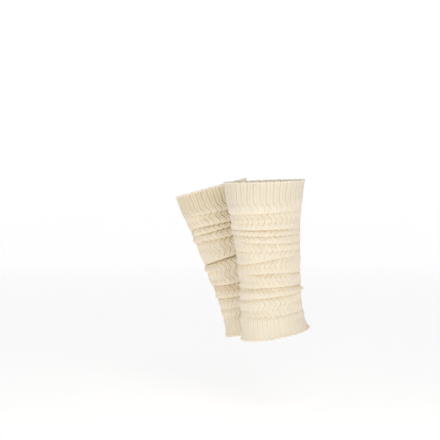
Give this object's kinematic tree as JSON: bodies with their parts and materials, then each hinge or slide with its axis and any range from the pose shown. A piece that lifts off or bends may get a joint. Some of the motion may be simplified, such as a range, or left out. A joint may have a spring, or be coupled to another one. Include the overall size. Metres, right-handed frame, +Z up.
{
  "type": "leg warmers",
  "caption": "Rib-knit leg warmers as worn, two open tubes with straight-rib cuffs and a zigzag-rib body pushed down into slouch folds.",
  "frame": {"origin": "centre of the left warmer's top cuff, halfway down it, where the calf holds it up", "axes": "+X to the wearer's left, -Y to the wearer's front, +Z up"},
  "size_m": [0.2658, 0.1855, 0.2479],
  "materials": {
    "left_top_cuff_yarn": "rib knit, matt",
    "left_body_yarn": "zigzag rib knit, matt",
    "left_bottom_cuff_yarn": "rib knit, matt",
    "right_top_cuff_yarn": "rib knit, matt",
    "right_body_yarn": "zigzag rib knit, matt",
    "right_bottom_cuff_yarn": "rib knit, matt"
  },
  "bodies": {
    "root": {"left_top_cuff": "left_top_cuff_yarn", "left_body": "left_body_yarn", "left_bottom_cuff": "left_bottom_cuff_yarn", "right_top_cuff": "right_top_cuff_yarn", "right_body": "right_body_yarn", "right_bottom_cuff": "right_bottom_cuff_yarn"}
  },
  "joints": []
}
